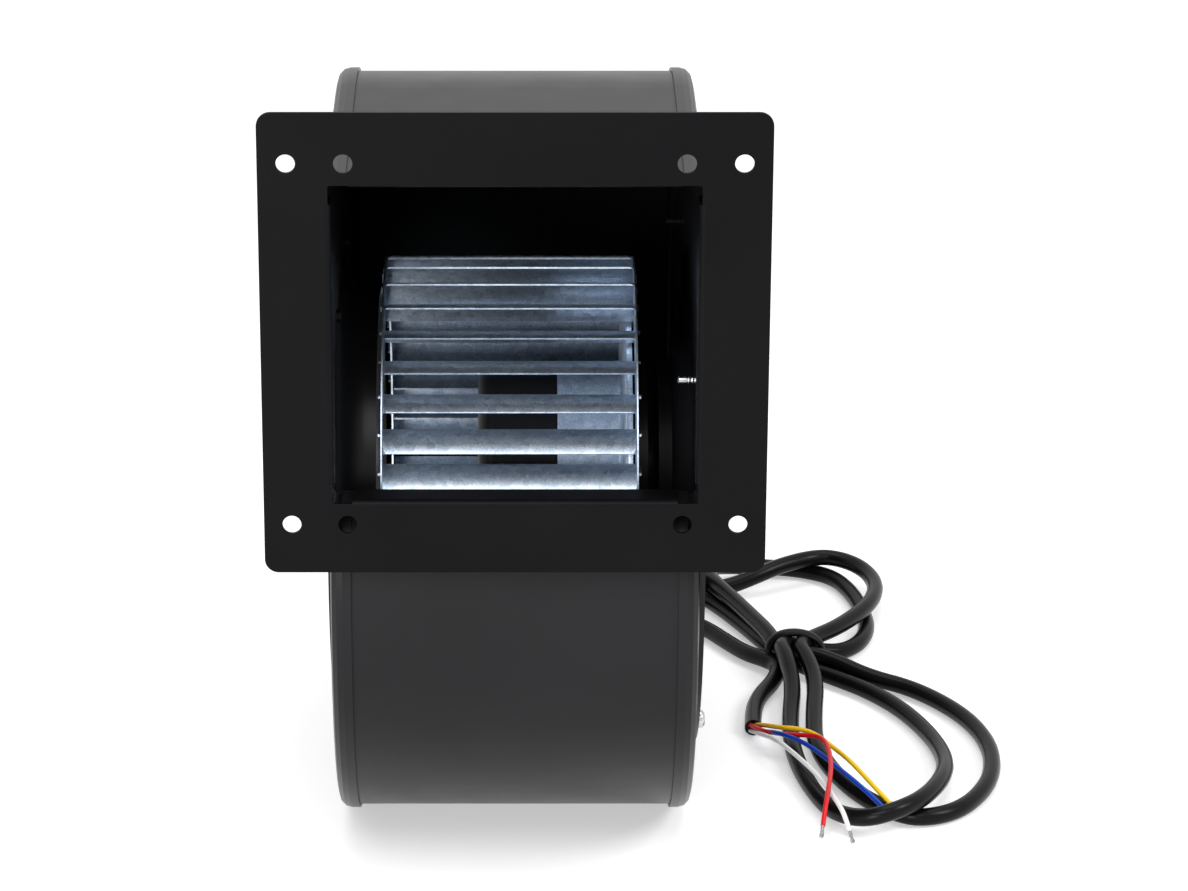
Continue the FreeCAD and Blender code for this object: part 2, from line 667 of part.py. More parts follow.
def rotor_cup():
    inside = ROTOR_FRONT + ROTOR_END
    return revolved([
        (ROTOR_FRONT, SHAFT_RADIUS, 0),
        (ROTOR_FRONT, ROTOR_RADIUS, ROTOR_CORNER),
        (ROTOR_BACK, ROTOR_RADIUS, 0),
        (ROTOR_BACK, ROTOR_BORE, 0),
        (inside, ROTOR_BORE, ROTOR_CORNER - ROTOR_WALL),
        (inside, ROTOR_BOSS_RADIUS, 0),
        (BOSS_END, ROTOR_BOSS_RADIUS, 0),
        (BOSS_END, SHAFT_RADIUS, 0),
    ])


def magnet_ring():
    start = STATOR_START + (STATOR_LENGTH - MAGNET_LENGTH) / 2
    return tube(ROTOR_BORE, MAGNET_BORE, start, start + MAGNET_LENGTH)


def circlip_start():
    return SECOND_BEARING + BEARING_WIDTH


def shaft():
    start = circlip_start()
    groove = tube(SHAFT_RADIUS + 1, SHAFT_RADIUS - CIRCLIP_DEPTH, start, start + CIRCLIP_SHEET)
    return cylinder(SHAFT_RADIUS, ROTOR_FRONT, SHAFT_END).cut(groove)


def shaft_circlip():
    start = circlip_start()
    groove = SHAFT_RADIUS - CIRCLIP_DEPTH
    ring = tube(SHAFT_RADIUS + 2, groove, start, start + CIRCLIP_SHEET)
    return ring.cut(block(start - 1, start + 2, -groove / 2, groove / 2, 0, 3 * SHAFT_RADIUS))


def preload_washer():
    return tube(SHAFT_RADIUS + RACE_THICKNESS, SHAFT_RADIUS, BOSS_END, FIRST_BEARING)


def both_bearings(make):
    return Part.makeCompound([make(FIRST_BEARING), make(SECOND_BEARING)])


def bearing_inner_rings():
    race = SHAFT_RADIUS + RACE_THICKNESS
    return both_bearings(lambda start: tube(race, SHAFT_RADIUS, start, start + BEARING_WIDTH))


def bearing_balls():
    """Balls between the races of both bearings."""
    inner = SHAFT_RADIUS + RACE_THICKNESS
    outer = BEARING_RADIUS - RACE_THICKNESS
    balls = []
    for start in (FIRST_BEARING, SECOND_BEARING):
        centre = AXIS + FreeCAD.Vector(start + BEARING_WIDTH / 2, 0, (inner + outer) / 2)
        ball = Part.makeSphere((outer - inner) / 2 - BALL_GAP, centre)
        balls.extend(pattern(ball, BALL_COUNT))
    return Part.makeCompound(balls)


# Motor: standing parts

def bearing_outer_rings():
    inner = BEARING_RADIUS - RACE_THICKNESS
    return both_bearings(lambda start: tube(BEARING_RADIUS, inner, start, start + BEARING_WIDTH))


def bearing_shields():
    outer = BEARING_RADIUS - RACE_THICKNESS
    inner = SHAFT_RADIUS + RACE_THICKNESS + BALL_GAP
    shields = []
    for start in (FIRST_BEARING, SECOND_BEARING):
        for face in (start, start + BEARING_WIDTH - SHIELD_THICKNESS):
            shields.append(tube(outer, inner, face, face + SHIELD_THICKNESS))
    return Part.makeCompound(shields)


def motor_flange():
    """Cast disc with a bearing tube that carries the stator, and a step that carries the driver board."""
    seat = BEARING_RADIUS + FIT_GAP
    bore = BEARING_RADIUS - RACE_THICKNESS + FIT_GAP
    tube_start = FIRST_BEARING - FIT_GAP
    body = revolved([
        (tube_start, seat, 0),
        (tube_start, TUBE_RADIUS, 0),
        (BOARD_FACE, TUBE_RADIUS, 0),
        (BOARD_FACE, TUBE_RADIUS + BOARD_STEP, 0),
        (MOTOR_FLANGE_X, TUBE_RADIUS + BOARD_STEP, BOARD_STEP),
        (MOTOR_FLANGE_X, MOTOR_FLANGE_RADIUS, 0),
        (RECESS_BACK, MOTOR_FLANGE_RADIUS, 0),
        (RECESS_BACK, seat, 0),
        (SECOND_BEARING, seat, 0),
        (SECOND_BEARING, bore, 0),
        (FIRST_BEARING + BEARING_WIDTH, bore, 0),
        (FIRST_BEARING + BEARING_WIDTH, seat, 0),
    ])
    screws = hole_set(MOTOR_SCREW["radius"], MOTOR_SCREW_CIRCLE, SCREW_COUNT, 45, MOTOR_FLANGE_X - 1, RECESS_FACE)
    return body.cut(screws + [cable_hole()])


def cable_hole():
    return cylinder(CABLE_BORE, MOTOR_FLANGE_X - 1, RECESS_FACE + 1, BOOT_PLACE, 0)


def stator_core():
    """Stack of laminations: a yoke on the bearing tube and teeth that end in shoes."""
    yoke = tube(YOKE_RADIUS, TUBE_RADIUS, STATOR_START, STATOR_END)
    half = TOOTH_WIDTH / 2
    tooth = block(STATOR_START, STATOR_END, -half, half, YOKE_RADIUS - 1, STATOR_RADIUS - SHOE_THICKNESS / 2)
    rim = tube(STATOR_RADIUS, STATOR_RADIUS - SHOE_THICKNESS, STATOR_START, STATOR_END)
    shoe = rim.common(block(STATOR_START, STATOR_END, -SHOE_WIDTH / 2, SHOE_WIDTH / 2, 0, STATOR_RADIUS))
    return yoke.fuse(pattern(tooth.fuse(shoe), TOOTH_COUNT)).removeSplitter()


def stator_coils():
    """One coil round each tooth, over the insulation at both ends of the stack."""
    half = TOOTH_WIDTH / 2 + COIL_THICKNESS
    inner = YOKE_RADIUS + 1
    outer = STATOR_RADIUS - SHOE_THICKNESS - 0.5
    end = INSULATION_THICKNESS + COIL_THICKNESS
    coil = block(STATOR_START - end, STATOR_END + end, -half, half, inner, outer)
    core = block(STATOR_START - INSULATION_THICKNESS, STATOR_END + INSULATION_THICKNESS,
                 -TOOTH_WIDTH / 2, TOOTH_WIDTH / 2, inner - 1, outer + 1)
    return Part.makeCompound(pattern(coil.cut(core), TOOTH_COUNT))


def stator_insulation():
    """End frames that keep the coils off the stack."""
    half = TOOTH_WIDTH / 2
    frames = []
    for start in (STATOR_START - INSULATION_THICKNESS, STATOR_END):
        end = start + INSULATION_THICKNESS
        ring = tube(YOKE_RADIUS, TUBE_RADIUS, start, end)
        arm = block(start, end, -half, half, YOKE_RADIUS - 1, STATOR_RADIUS)
        frames.append(ring.fuse(pattern(arm, TOOTH_COUNT)).removeSplitter())
    return Part.makeCompound(frames)


def driver_board():
    return tube(BOARD_RADIUS, TUBE_RADIUS, BOARD_FACE - BOARD_SHEET, BOARD_FACE)


def board_chips():
    """Power transistors on the board's face towards the stator."""
    face = BOARD_FACE - BOARD_SHEET
    half = CHIP_SIZE / 2
    chip = block(face - CHIP_HEIGHT, face, -half, half, CHIP_RADIUS - half, CHIP_RADIUS + half)
    return Part.makeCompound(pattern(chip, CHIP_COUNT))


# Motor plate and its screws

def motor_plate():
    """Round plate that closes the wheel's passage, with a recess that carries the motor flange."""
    floor_end = RECESS_RADIUS - RECESS_SLOPE
    plate = revolved([
        (RECESS_BACK, PLATE_BORE, 0),
        (RECESS_BACK, floor_end, RECESS_BEND + PLATE_SHEET),
        (FACE_X, RECESS_RADIUS, RECESS_BEND),
        (FACE_X, PLATE_RADIUS, 0),
        (PLATE_FACE, PLATE_RADIUS, 0),
        (PLATE_FACE, RECESS_RADIUS, RECESS_BEND + PLATE_SHEET),
        (RECESS_FACE, floor_end, RECESS_BEND),
        (RECESS_FACE, PLATE_BORE, 0),
    ])
    outer = hole_set(PLATE_SCREW["radius"] + HOLE_CLEARANCE, PLATE_SCREW_CIRCLE, SCREW_COUNT, PLATE_SCREW_TURN,
                     SEAM_X, PLATE_FACE + 1)
    inner = hole_set(MOTOR_SCREW["radius"] + HOLE_CLEARANCE, MOTOR_SCREW_CIRCLE, SCREW_COUNT, 45,
                     RECESS_BACK - 1, RECESS_FACE + 1)
    return plate.cut(outer + inner + [cable_hole()])


def screw_set(screw, circle, first_turn, seat_x):
    """Pan-head screws driven from the motor side, their heads on the face at seat_x."""
    y, z = around(first_turn, circle)
    top = seat_x + screw["head_height"]
    head = cylinder(screw["head_radius"], seat_x, top, y, z)
    head = head.makeFillet(HEAD_ROUNDING, [head.Edges[face_edge(head, top)]])
    shank = cylinder(screw["radius"], seat_x - screw["length"], seat_x, y, z)
    return Part.makeCompound(pattern(head.fuse(shank), SCREW_COUNT))


# Cable

def cable_boot():
    """Right-angled rubber boot: a plug through the plate, a round base and a tapered barrel to the back."""
    plug = cylinder(CABLE_BORE - FIT_GAP, MOTOR_FLANGE_X, RECESS_FACE, BOOT_PLACE, 0)
    base = cylinder(BOOT_BASE_RADIUS, RECESS_FACE, CABLE_X, BOOT_PLACE, 0)
    elbow = AXIS + FreeCAD.Vector(CABLE_X, BOOT_PLACE, 0)
    dome = Part.makeSphere(BOOT_BASE_RADIUS, elbow)
    barrel = Part.makeCone(BOOT_RADIUS, BOOT_TIP_RADIUS, BOOT_LENGTH, elbow, FreeCAD.Vector(0, 1, 0))
    return base.fuse([plug, dome, barrel]).removeSplitter()


def cord(route, radius, name):
    """Round cord along straight runs joined by tangent arcs. It prints the arcs' radii and its length."""
    points = [FreeCAD.Vector(*point) for point in route]
    edges = []
    radii = []
    start = points[0]
    for before, corner, after in zip(points, points[1:], points[2:]):
        to_before = before - corner
        to_after = after - corner
        shorter = min(to_before.Length, to_after.Length)
        half_turn = (math.pi - to_before.getAngle(to_after)) / 2
        bend = 0.45 * shorter / math.tan(half_turn)
        trim = 0.45 * shorter
        to_before.normalize()
        to_after.normalize()
        first = corner + to_before * trim
        last = corner + to_after * trim
        middle = corner + (to_before + to_after).normalize() * (bend / math.cos(half_turn) - bend)
        edges.append(Part.LineSegment(start, first).toShape())
        edges.append(Part.Arc(first, middle, last).toShape())
        radii.append(bend)
        start = last
    edges.append(Part.LineSegment(start, points[-1]).toShape())
    path = Part.Wire(edges)
    circle = Part.Circle(points[0], points[1] - points[0], radius).toShape()
    solid = path.makePipeShell([Part.Wire([circle])], True, False)
    ratio = solid.Volume / (math.pi * radius * radius * path.Length)
    print(name, "length", round(path.Length, 1), "volume ratio", round(ratio, 4),
          "radii", [round(value, 1) for value in radii])
    return solid


def lobe(points):
    """Flat closed solid with a smooth outline, straight across the end at the tie."""
    outline = [FreeCAD.Vector(x, y, SEAM_GAP) for x, y in points]
    spline = Part.BSplineCurve()
    spline.interpolate(outline)
    end = Part.LineSegment(outline[-1], outline[0])
    face = Part.Face(Part.Wire([spline.toShape(), end.toShape()]))
    return face.extrude(FreeCAD.Vector(0, 0, HANK_HEIGHT))


def oval_bar(half_width, half_height, length):
    """Oval bar along Y through the tie's place."""
    start = TIE_PLACE - FreeCAD.Vector(0, length / 2, 0)
    tip = start + FreeCAD.Vector(half_width, 0, 0)
    top = start + FreeCAD.Vector(0, 0, half_height)
    oval = Part.Ellipse(tip, top, start)
    return Part.Face(Part.Wire([oval.toShape()])).extrude(FreeCAD.Vector(0, length, 0))


def cable_hank():
    waist = oval_bar(TIE_HALF_WIDTH - TIE_SHEET, TIE_HALF_HEIGHT - TIE_SHEET, WAIST_LENGTH)
    return waist.fuse([lobe(UPPER_LOBE), lobe(LOWER_LOBE)]).removeSplitter()


def cable_tie():
    outside = oval_bar(TIE_HALF_WIDTH, TIE_HALF_HEIGHT, TIE_LENGTH)
    return outside.cut(oval_bar(TIE_HALF_WIDTH - TIE_SHEET, TIE_HALF_HEIGHT - TIE_SHEET, TIE_LENGTH + 2))


def core_tips():
    """Tinned ends of the four cores."""
    tips = []
    for route in CORE_ROUTES.values():
        end = FreeCAD.Vector(*route[-1])
        direction = end - FreeCAD.Vector(*route[-2])
        tips.append(Part.makeCylinder(TIN_RADIUS, TIN_LENGTH, end, direction))
    return Part.makeCompound(tips)


def main():
    os.makedirs("parts", exist_ok=True)
    ring = end_ring()
    hank = cable_hank()
    nodes = {
        "scroll_band": scroll_band(),
        "inlet_side_plate": inlet_side_plate(),
        "motor_side_plate": motor_side_plate(),
        "outlet_flange": outlet_flange(),
        "inlet_nozzle": inlet_nozzle(),
        "nozzle_rivets": nozzle_rivets(),
        "motor_plate": motor_plate(),
        "motor_plate_screws": screw_set(PLATE_SCREW, PLATE_SCREW_CIRCLE, PLATE_SCREW_TURN, PLATE_FACE),
        "motor_flange_screws": screw_set(MOTOR_SCREW, MOTOR_SCREW_CIRCLE, 45, RECESS_FACE),
        "motor_flange": motor_flange(),
        "stator_core": stator_core(),
        "stator_insulation": stator_insulation(),
        "stator_coils": stator_coils(),
        "driver_board": driver_board(),
        "board_chips": board_chips(),
        "bearing_outer_rings": bearing_outer_rings(),
        "bearing_shields": bearing_shields(),
        "bearing_balls": bearing_balls(),
        "bearing_inner_rings": bearing_inner_rings(),
        "preload_washer": preload_washer(),
        "rotor_shaft": shaft(),
        "shaft_circlip": shaft_circlip(),
        "rotor_cup": rotor_cup(),
        "magnet_ring": magnet_ring(),
        "hub_plate": hub_plate(),
        "motor_end_ring": ring,
        "inlet_end_ring": mirrored(ring, WHEEL_MIDDLE),
        "wheel_blades": wheel_blades(),
        "cable_boot": cable_boot(),
        "cable_lead": cord(LEAD_ROUTE, CABLE_RADIUS, "cable_lead").cut(hank),
        "cable_hank": hank,
        "cable_tie": cable_tie(),
        "cable_tail": cord(TAIL_ROUTE, CABLE_RADIUS, "cable_tail").cut(hank),
        "core_tips": core_tips(),
    }
    for name, route in CORE_ROUTES.items():
        nodes[name] = cord(route, CORE_RADIUS, name)
    for name, shape in nodes.items():
        shape.exportStep("parts/" + name + ".step")
        print(name, "solids", len(shape.Solids), "valid", shape.isValid(), "volume", round(shape.Volume, 1))
    print("axis", round(AXIS_Y, 3), round(AXIS_Z, 3), "depth", round(DEPTH, 3), "opening", round(OPENING_Z, 3))


main()
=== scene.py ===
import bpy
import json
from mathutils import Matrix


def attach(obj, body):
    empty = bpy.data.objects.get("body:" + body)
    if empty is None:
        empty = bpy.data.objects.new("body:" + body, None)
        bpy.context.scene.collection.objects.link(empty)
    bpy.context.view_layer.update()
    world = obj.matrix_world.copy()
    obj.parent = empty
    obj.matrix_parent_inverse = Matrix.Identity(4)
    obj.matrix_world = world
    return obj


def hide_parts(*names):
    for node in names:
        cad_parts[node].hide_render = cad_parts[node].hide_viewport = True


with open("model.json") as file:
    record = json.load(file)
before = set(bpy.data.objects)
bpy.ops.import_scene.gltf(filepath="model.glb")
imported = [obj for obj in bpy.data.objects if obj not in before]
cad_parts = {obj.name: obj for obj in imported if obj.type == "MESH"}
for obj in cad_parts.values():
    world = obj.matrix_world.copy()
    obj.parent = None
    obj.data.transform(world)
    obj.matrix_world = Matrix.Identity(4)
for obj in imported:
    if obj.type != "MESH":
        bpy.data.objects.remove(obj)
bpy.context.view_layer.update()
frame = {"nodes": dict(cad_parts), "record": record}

import json
import math

import bmesh
import bpy
from mathutils import Vector

NODES = frame["nodes"]
MM = 0.001

# Lengths are in millimetres and angles in degrees where nothing else is said.
# The camera fits the photograph's straight edges and holes. Its frame is measured in the photograph's pixels.

FRAME_WIDTH = 1188
FOCAL_PIXELS = 4400.0
PRINCIPAL_X = 515.0
SENSOR_WIDTH = 36.0
CAMERA_TILT = 20.606
CAMERA_BACK = 1467.48
CAMERA_UP = 512.70

# The wheel's axis, the flange's front face and the height of its holes' middle over the axis

AXIS_Y = -19.338
AXIS_Z = 135.423
FLANGE_FRONT = -131.338
HOLE_RISE = 89.3


def place(x, y, z):
    return Vector((x, y, z)) * MM


def make_camera():
    data = bpy.data.cameras.new("camera")
    data.sensor_width = SENSOR_WIDTH
    data.lens = SENSOR_WIDTH * FOCAL_PIXELS / FRAME_WIDTH
    data.shift_x = (FRAME_WIDTH / 2 - PRINCIPAL_X) / FRAME_WIDTH
    data.clip_start = 0.05
    data.clip_end = 60.0
    camera = bpy.data.objects.new("camera", data)
    camera.location = place(0, FLANGE_FRONT - CAMERA_BACK, AXIS_Z + HOLE_RISE + CAMERA_UP)
    camera.rotation_euler = (math.radians(90 - CAMERA_TILT), 0, 0)
    bpy.context.scene.collection.objects.link(camera)
    bpy.context.scene.camera = camera


make_camera()


# Cable: one length from its boot through the hank to the stripped end.
# Points go right, back and up. A point 3.7 high lies on the floor.

CABLE_RADIUS = 3.5
CORE_RADIUS = 0.95

CABLE_EXIT = (74.7, 40.66, 135.42)
LEAD = [
    CABLE_EXIT,
    (74.8, 70.0, 134.5),
    (75.0, 103.0, 125.0),
    (75.2, 134.0, 104.0),
    (75.4, 155.0, 72.0),
    (75.5, 167.0, 34.0),
    (75.8, 169.5, 14.0),
    (79.0, 167.0, 5.0),
    (84.5, 161.5, 3.7),
    (90.3, 150.5, 3.7),
    (98.2, 132.5, 3.9),
    (105.0, 114.5, 4.4),
]
INNER_LOWER_LOOP = [
    (110.5, 102.5, 4.6), (116, 93.5, 4.8), (123, 85.5, 4.6), (133, 77.5, 4.0), (146, 65, 3.7),
    (158, 46.4, 3.7), (167.2, 22, 3.7), (171, -3.7, 5.5), (168.5, -30, 9.5), (158.8, -54, 11.2),
    (146.5, -66, 11.2), (134, -66, 7.5), (122.5, -51.8, 4.0), (114.8, -24.2, 3.7), (111, 5.9, 3.7),
    (111.5, 33, 4.4), (114.5, 60, 8.6), (112.6, 78, 13.0), (110.6, 91, 13.8),
]
NEAR_UPPER_LOOP = [
    (118, 99, 10.2), (128, 101, 5.8), (138, 105, 4), (146, 115, 3.7), (150.3, 130, 3.7),
    (150, 147, 3.7), (147, 168.5, 3.7), (140, 188.5, 3.7), (126, 197, 3.7), (112, 200, 3.8),
    (97, 198, 5), (86, 190, 8), (83, 176, 11.2), (87, 161, 11.5), (93.5, 146, 10.9),
    (100.5, 127, 10.9), (106.5, 110, 11), (109.5, 98, 10),
]
OUTER_LOWER_LOOP = [
    (115, 94, 9.6), (124, 90, 9.4), (133, 86, 8), (147, 76, 5), (165, 67, 3.7), (181.5, 43, 3.7),
    (189.5, 18, 3.7), (190.3, -6.3, 3.7), (185.2, -29, 3.7), (173, -50, 3.7), (157, -57.5, 3.7),
    (146, -51, 3.7), (134.5, -36, 3.7), (125, -12.3, 3.7), (120.3, 12, 4.2), (121.2, 34, 6.5),
    (123.8, 60.8, 9.2), (121.5, 78, 12.2), (118.2, 91, 13.3),
]
FAR_UPPER_LOOP = [
    (124.5, 101, 12), (137, 115.5, 11), (151, 138, 10.8), (156.7, 161, 9.8), (154, 180, 9.8),
    (145, 191, 10.8), (133.5, 195, 11), (117, 185.5, 10.8), (105, 178.5, 8.2), (94, 175, 4.9),
    (83, 173.5, 3.8), (71.5, 166, 3.7), (68, 152, 3.7), (72.5, 139, 3.7), (81.5, 131, 3.7),
    (89, 117.5, 3.7), (97, 103.5, 4), (104, 95.5, 5),
]
TAIL = [
    (110.5, 87, 5.2), (107.5, 74.5, 4), (100.5, 59.5, 3.7), (97, 44, 3.7), (96.4, 28.1, 3.7),
]
CABLE_ROUTE = LEAD + INNER_LOWER_LOOP + NEAR_UPPER_LOOP + OUTER_LOWER_LOOP + FAR_UPPER_LOOP + TAIL

CORE_ROUTES = {
    "core_yellow": [(97.5, 28.0, 4.9), (100.0, 21.9, 7.8), (105.8, 12.4, 10.9), (113.9, 9.8, 11.5),
                    (120.0, 5.2, 11.3), (125.2, -2.7, 10.2), (131.8, -16.3, 10.0), (138.4, -34.0, 9.0),
                    (146.0, -51.5, 6.6)],
    "core_red": [(95.3, 28.0, 4.9), (98.6, 19.2, 6.4), (107.5, 7.5, 10.0), (115.5, 3.0, 11.8),
                 (122.0, -2.5, 13.6), (124.2, -14.0, 13.2), (123.9, -30.0, 12.8), (121.9, -46.0, 12.2),
                 (119.8, -59.5, 10.2), (118.4, -66.8, 5.2)],
    "core_blue": [(97.5, 28.0, 2.5), (100.4, 19.5, 6.0), (105.8, 7.5, 10.6), (113.5, 0.5, 10.6),
                  (119.9, -9.5, 10.4), (127.4, -25.0, 10.0), (135.4, -40.0, 9.0), (142.6, -53.5, 6.6)],
    "core_white": [(95.3, 28.0, 2.5), (97.9, 19.5, 5.2), (104.2, 4.5, 9.4), (111.2, -11.0, 9.6),
                   (117.4, -26.3, 9.5), (121.8, -41.0, 9.5), (124.6, -55.5, 9.9), (126.8, -64.0, 8.8),
                   (128.4, -70.5, 4.6)],
}


def cord_curve(name, route, radius):
    """Round cord along a quadratic spline that the route's points control. The points carry its radius."""
    data = bpy.data.curves.new(name, "CURVE")
    data.dimensions = "3D"
    data.bevel_depth = 1.0
    data.bevel_resolution = 5
    data.use_fill_caps = True
    data.resolution_u = 10
    spline = data.splines.new("NURBS")
    spline.points.add(len(route) - 1)
    for point, (x, y, z) in zip(spline.points, route):
        point.co = (x * MM, y * MM, z * MM, 1.0)
        point.radius = radius * MM
    spline.order_u = 3
    spline.use_endpoint_u = True
    piece = bpy.data.objects.new(name, data)
    bpy.context.scene.collection.objects.link(piece)
    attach(piece, "housing")
    return piece


def centreline(piece):
    """Points along a cord's own spline, from its curve with the bevel left off."""
    bare = piece.data.copy()
    bare.bevel_depth = 0.0
    holder = bpy.data.objects.new("centreline", bare)
    bpy.context.scene.collection.objects.link(holder)
    mesh = bpy.data.meshes.new_from_object(holder)
    points = [vertex.co.copy() for vertex in mesh.vertices]
    bpy.data.objects.remove(holder)
    bpy.data.meshes.remove(mesh)
    bpy.data.curves.remove(bare)
    return points


def length_of(points):
    return sum((b - a).length for a, b in zip(points, points[1:]))


# Mesh helpers

def mesh_piece(name, mesh, body):
    piece = bpy.data.objects.new(name, mesh)
    bpy.context.scene.collection.objects.link(piece)
    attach(piece, body)
    return piece


def mesh_from(name, vertices, faces, smooth_angle=40):
    mesh = bpy.data.meshes.new(name)
    mesh.from_pydata([tuple(v) for v in vertices], [], faces)
    mesh.validate()
    mesh.update()
    mesh.shade_smooth()
    mesh.set_sharp_from_angle(angle=math.radians(smooth_angle))
    return mesh


def ring_faces(rings, sides, closed):
    """Faces between rings of points with as many sides each. Closed joins the last ring to the first."""
    faces = []
    for ring in range(rings if closed else rings - 1):
        following = (ring + 1) % rings
        for step in range(sides):
            beside = (step + 1) % sides
            faces.append((ring * sides + step, ring * sides + beside,
                          following * sides + beside, following * sides + step))
    return faces


def swept_tube(points, radii, sides):
    """Vertices and faces of a round tube along points, one radius at each, closed at both ends."""
    vertices = []
    side = None
    for index, point in enumerate(points):
        before = points[max(index - 1, 0)]
        after = points[min(index + 1, len(points) - 1)]
        along = (after - before).normalized()
        if side is None:
            side = along.orthogonal().normalized()
        side = (side - along * side.dot(along)).normalized()
        up = along.cross(side)
        for step in range(sides):
            turn = 2 * math.pi * step / sides
            vertices.append(point + (side * math.cos(turn) + up * math.sin(turn)) * radii[index])
    faces = ring_faces(len(points), sides, False)
    faces.append(tuple(range(sides))[::-1])
    last = (len(points) - 1) * sides
    faces.append(tuple(range(last, last + sides)))
    return vertices, faces


# Materials

# Blender multiplies the coordinate of a wave texture by this number.
WAVE_FACTOR = 20


def new_material(name):
    material = bpy.data.materials.new(name)
    material.use_nodes = True
    tree = material.node_tree
    tree.nodes.clear()
    output = tree.nodes.new("ShaderNodeOutputMaterial")
    shader = tree.nodes.new("ShaderNodeBsdfPrincipled")
    tree.links.new(shader.outputs["BSDF"], output.inputs["Surface"])
    return material, tree, shader


def object_coordinates(tree, scale=(1, 1, 1)):
    coordinates = tree.nodes.new("ShaderNodeTexCoord")
    mapping = tree.nodes.new("ShaderNodeMapping")
    mapping.inputs["Scale"].default_value = scale
    tree.links.new(coordinates.outputs["Object"], mapping.inputs["Vector"])
    return mapping.outputs["Vector"]


def noise(tree, vector, scale, detail=2.0, roughness=0.5):
    node = tree.nodes.new("ShaderNodeTexNoise")
    node.inputs["Scale"].default_value = scale
    node.inputs["Detail"].default_value = detail
    node.inputs["Roughness"].default_value = roughness
    tree.links.new(vector, node.inputs["Vector"])
    return node.outputs["Fac"]


def cells(tree, vector, scale):
    node = tree.nodes.new("ShaderNodeTexVoronoi")
    node.inputs["Scale"].default_value = scale
    tree.links.new(vector, node.inputs["Vector"])
    return node.outputs["Color"]


def ramp(tree, factor, stops):
    node = tree.nodes.new("ShaderNodeValToRGB")
    elements = node.color_ramp.elements
    while len(elements) < len(stops):
        elements.new(0.5)
    for element, (position, color) in zip(elements, stops):
        element.position = position
        element.color = (*color, 1.0)
    tree.links.new(factor, node.inputs["Fac"])
    return node.outputs["Color"]


def span(tree, factor, low, high):
    node = tree.nodes.new("ShaderNodeMapRange")
    node.inputs["To Min"].default_value = low
    node.inputs["To Max"].default_value = high
    tree.links.new(factor, node.inputs["Value"])
    return node.outputs["Result"]


def bump(tree, height, strength, distance_mm):
    node = tree.nodes.new("ShaderNodeBump")
    node.inputs["Strength"].default_value = strength
    node.inputs["Distance"].default_value = distance_mm * MM
    tree.links.new(height, node.inputs["Height"])
    return node.outputs["Normal"]


def blended(tree, factor, first, second):
    node = tree.nodes.new("ShaderNodeMix")
    node.data_type = "RGBA"
    tree.links.new(factor, node.inputs["Factor"])
    tree.links.new(first, node.inputs["A"])
    tree.links.new(second, node.inputs["B"])
    return node.outputs["Result"]


def tint(tree, shader, factor, dark, light, low=0.3, high=0.7):
    """Base colour that goes from dark to light while the factor goes from low to high."""
    tree.links.new(ramp(tree, factor, [(low, dark), (high, light)]), shader.inputs["Base Color"])


def gloss(tree, shader, factor, roughness, less, more):
    """Roughness that the factor moves from a little less to a little more."""
    tree.links.new(span(tree, factor, roughness - less, roughness + more), shader.inputs["Roughness"])


def relief(tree, shader, height, strength, depth_mm):
    tree.links.new(bump(tree, height, strength, depth_mm), shader.inputs["Normal"])


def painted(name, dark, light, roughness, specular, grain_mm=0.7, depth_mm=0.006):
    """Satin powder coat: a fine orange peel and slight cloudiness of colour and gloss."""
    material, tree, shader = new_material(name)
    vector = object_coordinates(tree)
    cloud = noise(tree, vector, scale=18.0, detail=3.0)
    tint(tree, shader, cloud, dark, light)
    sheen = noise(tree, vector, scale=60.0, detail=4.0)
    gloss(tree, shader, sheen, roughness, less=0.05, more=0.05)
    shader.inputs["Specular IOR Level"].default_value = specular
    peel = noise(tree, vector, scale=1000.0 / grain_mm, detail=2.0, roughness=0.6)
    relief(tree, shader, peel, 0.6, depth_mm)
    return material


def galvanised(name, dark, light, roughness):
    """Zinc-coated sheet: a fine mottled grain over broader spangles."""
    material, tree, shader = new_material(name)
    vector = object_coordinates(tree)
    spangle = cells(tree, vector, scale=420.0)
    grain = noise(tree, vector, scale=1500.0, detail=3.0, roughness=0.7)
    cloud = noise(tree, vector, scale=35.0, detail=3.0)
    fine = ramp(tree, grain, [(0.35, dark), (0.62, light)])
    broad = ramp(tree, spangle, [(0.1, dark), (0.9, light)])
    tree.links.new(blended(tree, cloud, fine, broad), shader.inputs["Base Color"])
    shader.inputs["Metallic"].default_value = 1.0
    gloss(tree, shader, grain, roughness, less=0.1, more=0.12)
    relief(tree, shader, grain, 0.6, depth_mm=0.035)
    return material


def bare_metal(name, dark, light, roughness, scale, stretch=(1, 1, 1), depth_mm=0.004):
    """Plated, cast or ground metal with a fine grain."""
    material, tree, shader = new_material(name)
    grain = noise(tree, object_coordinates(tree, stretch), scale, detail=3.0, roughness=0.6)
    tint(tree, shader, grain, dark, light)
    shader.inputs["Metallic"].default_value = 1.0
    gloss(tree, shader, grain, roughness, less=0.06, more=0.08)
    relief(tree, shader, grain, 0.4, depth_mm)
    return material


def moulded(name, dark, light, roughness, specular, scale, depth_mm):
    """Plastic or rubber with a fine surface texture."""
    material, tree, shader = new_material(name)
    vector = object_coordinates(tree)
    cloud = noise(tree, vector, scale=40.0, detail=3.0)
    tint(tree, shader, cloud, dark, light)
    shader.inputs["Specular IOR Level"].default_value = specular
    grain = noise(tree, vector, scale, detail=3.0, roughness=0.6)
    gloss(tree, shader, grain, roughness, less=0.05, more=0.07)
    relief(tree, shader, grain, 0.4, depth_mm)
    return material


